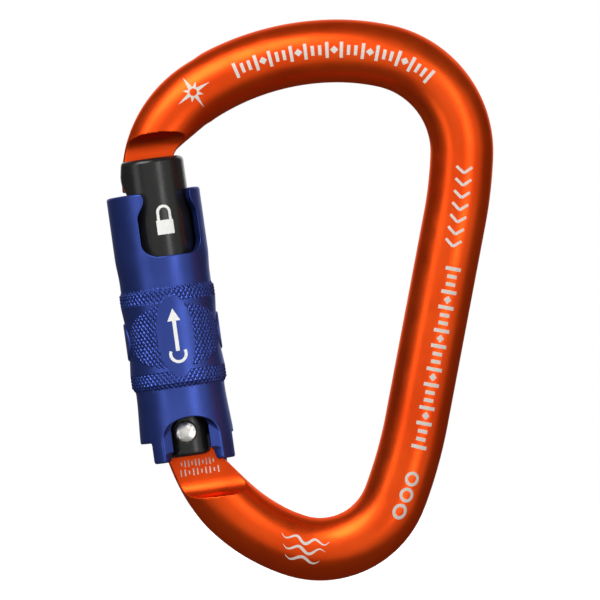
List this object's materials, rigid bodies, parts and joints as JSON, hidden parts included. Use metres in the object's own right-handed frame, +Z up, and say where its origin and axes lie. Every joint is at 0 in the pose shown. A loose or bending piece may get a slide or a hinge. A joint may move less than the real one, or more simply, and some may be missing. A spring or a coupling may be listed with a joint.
{
  "type": "locking carabiner",
  "caption": "Pear-shaped locking carabiner with an inward-opening sprung gate and a lift-and-twist locking sleeve.",
  "frame": {"origin": "crest of the wide basket's inner surface, on the bar's middle plane", "axes": "+Z up from the narrow basket to the wide basket, +X from the gate towards the spine, +Y through the frame from front to back"},
  "size_m": [0.0775, 0.0192, 0.1122],
  "materials": {
    "frame_anodised": "satin orange anodised aluminium",
    "gate_anodised": "satin black anodised aluminium",
    "rivet_steel": "bright stainless steel",
    "pin_steel": "ground stainless steel",
    "spring_steel": "drawn spring wire",
    "plunger_steel": "turned stainless steel",
    "sleeve_anodised": "satin blue anodised aluminium",
    "liner_acetal": "natural acetal",
    "ring_steel": "pressed stainless steel"
  },
  "bodies": {
    "frame_body": {"frame": "frame_anodised"},
    "gate": {"gate_body": "gate_anodised", "hinge_rivet": "rivet_steel", "guide_pin": "pin_steel", "gate_spring": "spring_steel", "sleeve_spring": "spring_steel"},
    "plunger": {"gate_plunger": "plunger_steel"},
    "lift_ring": {"thrust_ring": "ring_steel"},
    "sleeve": {"sleeve_shell": "sleeve_anodised", "sleeve_liner": "liner_acetal"}
  },
  "joints": [
    {"name": "gate_hinge", "type": "hinge", "parent": "frame_body", "child": "gate", "pos_m": [-0.03025, 0, -0.06975], "axis": [0, 1, 0], "range_deg": [0, 30], "stiffness_Nm_per_rad": 0.4, "springref_deg": -34.38},
    {"name": "plunger_slide", "type": "slide", "parent": "gate", "child": "plunger", "axis": [-0.1392, 0, 0.9903], "range_m": [0, 0.00095], "deforming": ["gate_spring"]},
    {"name": "sleeve_slide", "type": "slide", "parent": "gate", "child": "lift_ring", "axis": [-0.1392, 0, 0.9903], "range_m": [0, 0.0035], "stiffness_N_per_m": 1500, "springref_m": -0.003, "deforming": ["sleeve_spring"]},
    {"name": "sleeve_twist", "type": "hinge", "parent": "lift_ring", "child": "sleeve", "pos_m": [-0.03303, 0, -0.04995], "axis": [0.1392, 0, -0.9903], "range_deg": [0, 110], "stiffness_Nm_per_rad": 0.02, "springref_deg": -57.3}
  ],
  "couplings": [
    {"joint": "plunger_slide", "follows": "gate_hinge", "m_per_rad": 0.0017189}
  ]
}
